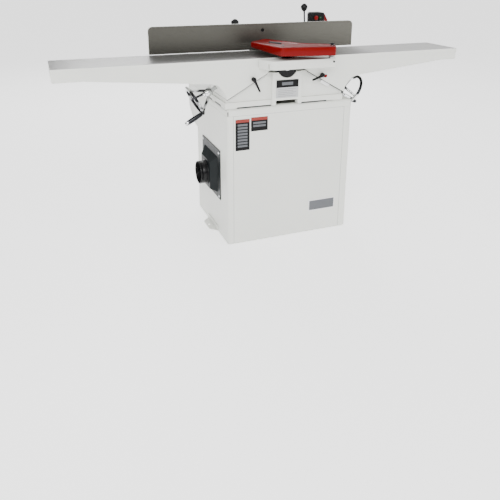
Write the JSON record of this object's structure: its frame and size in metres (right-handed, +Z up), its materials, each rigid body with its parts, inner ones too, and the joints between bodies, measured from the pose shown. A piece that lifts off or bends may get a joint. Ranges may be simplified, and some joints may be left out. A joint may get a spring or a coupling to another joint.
{
  "type": "jointer",
  "caption": "Floor-standing cabinet jointer: long cast-iron infeed and outfeed tables on a closed steel cabinet, with tilting fence, swinging guard and side dust port.",
  "frame": {"origin": "centre of the footprint's bounding box, on the floor", "axes": "+X along the tables towards the infeed end, +Y from the operator towards the fence, +Z up"},
  "size_m": [1.7, 0.7228, 0.9595],
  "materials": {
    "black_plastic": "moulded",
    "chrome": "polished",
    "dark_sheet": "satin paint",
    "green_plastic": "gloss",
    "ground_iron": "machine-ground",
    "label": "printed foil",
    "motor_paint": "satin",
    "red_guard": "gloss paint",
    "red_plastic": "gloss",
    "rough_iron": "as cast",
    "rubber": "matte",
    "steel": "turned",
    "white_paint": "semi-gloss powder coat"
  },
  "bodies": {
    "root": {"cabinet_floor": "white_paint", "cabinet_front_panel": "white_paint", "cabinet_left_side": "white_paint", "cabinet_rear_panel": "white_paint", "cabinet_right_side": "white_paint", "cabinet_top_pan": "white_paint", "rear_hood": "white_paint", "left_anchor_foot": "white_paint", "right_anchor_foot": "white_paint", "dust_chute": "dark_sheet", "dust_collar": "black_plastic", "chip_chute": "white_paint", "base_casting": "white_paint", "base_nameplate": "label", "outfeed_screw_nut": "rough_iron", "infeed_screw_nut": "rough_iron", "front_bearing_housing": "black_plastic", "rear_bearing_housing": "rough_iron", "motor": "motor_paint", "motor_mount": "rough_iron", "drive_belt": "rubber", "belt_guard": "black_plastic", "fence_support": "white_paint", "switch_post": "dark_sheet", "switch_box": "black_plastic", "cord_gland": "black_plastic"},
    "outfeed_table": {"outfeed_table": "ground_iron", "outfeed_gib": "steel"},
    "outfeed_wheel": {"outfeed_handwheel": "chrome", "outfeed_adjusting_screw": "steel"},
    "outfeed_grip": {"outfeed_handwheel_grip": "chrome"},
    "outfeed_lock": {"outfeed_lock_lever": "black_plastic"},
    "infeed_table": {"infeed_table": "ground_iron", "infeed_gib": "steel", "rabbeting_ledge": "white_paint", "depth_pointer": "red_plastic"},
    "infeed_wheel": {"infeed_handwheel": "chrome", "infeed_adjusting_screw": "steel"},
    "infeed_grip": {"infeed_handwheel_grip": "chrome"},
    "infeed_lock": {"infeed_lock_lever": "black_plastic"},
    "guard_post": {"guard_post": "steel", "guard_post_cap": "black_plastic", "guard_spring": "steel"},
    "guard": {"cutterhead_guard": "red_guard"},
    "cutterhead": {"cutterhead": "steel", "cutterhead_pulley": "rough_iron", "knife_1": "chrome", "knife_2": "chrome", "knife_3": "chrome"},
    "motor_rotor": {"motor_pulley": "rough_iron"},
    "fence_carriage": {"fence_carriage": "white_paint"},
    "fence": {"fence": "ground_iron", "fence_hinge_pin_1": "steel", "fence_hinge_pin_2": "steel"},
    "fence_lock": {"fence_lock_lever": "black_plastic", "fence_lever_knob": "black_plastic"},
    "fence_tilt_knob": {"fence_tilt_knob": "black_plastic"},
    "stop_button": {"stop_button": "red_plastic"},
    "start_button": {"start_button": "green_plastic"},
    "stop_paddle": {"stop_paddle": "red_plastic"}
  },
  "joints": [
    {"name": "outfeed_slide", "type": "slide", "parent": "root", "child": "outfeed_table", "axis": [-0.8712, 0, -0.4909], "range_m": [-0.001, 0.006]},
    {"name": "outfeed_wheel_turn", "type": "hinge", "parent": "outfeed_table", "child": "outfeed_wheel", "pos_m": [-0.32, -0.139, 0.60753], "axis": [-0.8712, 0, -0.4909], "range_deg": [-99, 549]},
    {"name": "outfeed_grip_spin", "type": "hinge", "parent": "outfeed_wheel", "child": "outfeed_grip", "pos_m": [-0.29673, -0.17577, 0.56622], "axis": [-0.8712, 0, -0.4909], "continuous": true},
    {"name": "outfeed_lock_turn", "type": "hinge", "parent": "outfeed_table", "child": "outfeed_lock", "pos_m": [-0.113, -0.244, 0.7], "axis": [0, 1, 0], "range_deg": [-25, 35]},
    {"name": "infeed_slide", "type": "slide", "parent": "root", "child": "infeed_table", "axis": [0.8712, 0, -0.4909], "range_m": [-0.008, 0.0182]},
    {"name": "infeed_wheel_turn", "type": "hinge", "parent": "infeed_table", "child": "infeed_wheel", "pos_m": [0.3911, -0.139, 0.60465], "axis": [0.8712, 0, -0.4909], "range_deg": [-729, 1647]},
    {"name": "infeed_grip_spin", "type": "hinge", "parent": "infeed_wheel", "child": "infeed_grip", "pos_m": [0.37379, -0.09046, 0.57393], "axis": [0.8712, 0, -0.4909], "continuous": true},
    {"name": "infeed_lock_turn", "type": "hinge", "parent": "infeed_table", "child": "infeed_lock", "pos_m": [0.1851, -0.244, 0.699], "axis": [0, 1, 0], "range_deg": [-35, 25]},
    {"name": "guard_follow", "type": "hinge", "parent": "infeed_table", "child": "guard_post", "pos_m": [0.1911, -0.306, 0.77], "axis": [0, 0, 1], "range_deg": [0, 50]},
    {"name": "guard_swing", "type": "hinge", "parent": "guard_post", "child": "guard", "pos_m": [0.1911, -0.306, 0.8], "axis": [0, 0, 1], "range_deg": [0, 60], "stiffness_Nm_per_rad": 0.6, "springref_deg": -17.19},
    {"name": "fence_slide", "type": "slide", "parent": "root", "child": "fence_carriage", "axis": [0, 1, 0], "range_m": [-0.17, 0]},
    {"name": "fence_tilt", "type": "hinge", "parent": "fence_carriage", "child": "fence", "pos_m": [0, -0.029, 0.787], "axis": [1, 0, 0], "range_deg": [-45, 15]},
    {"name": "fence_lock_turn", "type": "hinge", "parent": "fence_carriage", "child": "fence_lock", "pos_m": [0.267, 0.086, 0.8], "axis": [0, 0, 1], "range_deg": [-40, 40]},
    {"name": "fence_tilt_knob_turn", "type": "hinge", "parent": "fence_carriage", "child": "fence_tilt_knob", "pos_m": [-0.071, 0.086, 0.8], "axis": [0, 0, 1], "continuous": true},
    {"name": "cutterhead_spin", "type": "hinge", "parent": "root", "child": "cutterhead", "pos_m": [0.033, -0.144, 0.7395], "axis": [0, 1, 0], "continuous": true},
    {"name": "motor_spin", "type": "hinge", "parent": "root", "child": "motor_rotor", "pos_m": [0.17, -0.144, 0.14], "axis": [0, 1, 0], "continuous": true},
    {"name": "start_button_press", "type": "slide", "parent": "root", "child": "start_button", "axis": [0, 1, 0], "range_m": [0, 0.004], "stiffness_N_per_m": 400, "springref_m": -0.0005},
    {"name": "stop_button_press", "type": "slide", "parent": "root", "child": "stop_button", "axis": [0, 1, 0], "range_m": [0, 0.004], "stiffness_N_per_m": 400, "springref_m": -0.0005},
    {"name": "stop_paddle_swing", "type": "hinge", "parent": "root", "child": "stop_paddle", "pos_m": [0.361, 0.112, 0.905], "axis": [0, 1, 0], "range_deg": [0, 20], "stiffness_Nm_per_rad": 0.5, "springref_deg": -11.46}
  ],
  "couplings": [
    {"joint": "outfeed_wheel_turn", "follows": "outfeed_slide", "rad_per_m": 1570.8},
    {"joint": "infeed_wheel_turn", "follows": "infeed_slide", "rad_per_m": 1570.8},
    {"joint": "guard_follow", "follows": "fence_slide", "rad_per_m": -4.928},
    {"joint": "motor_spin", "follows": "cutterhead_spin", "ratio": 0.6222}
  ]
}
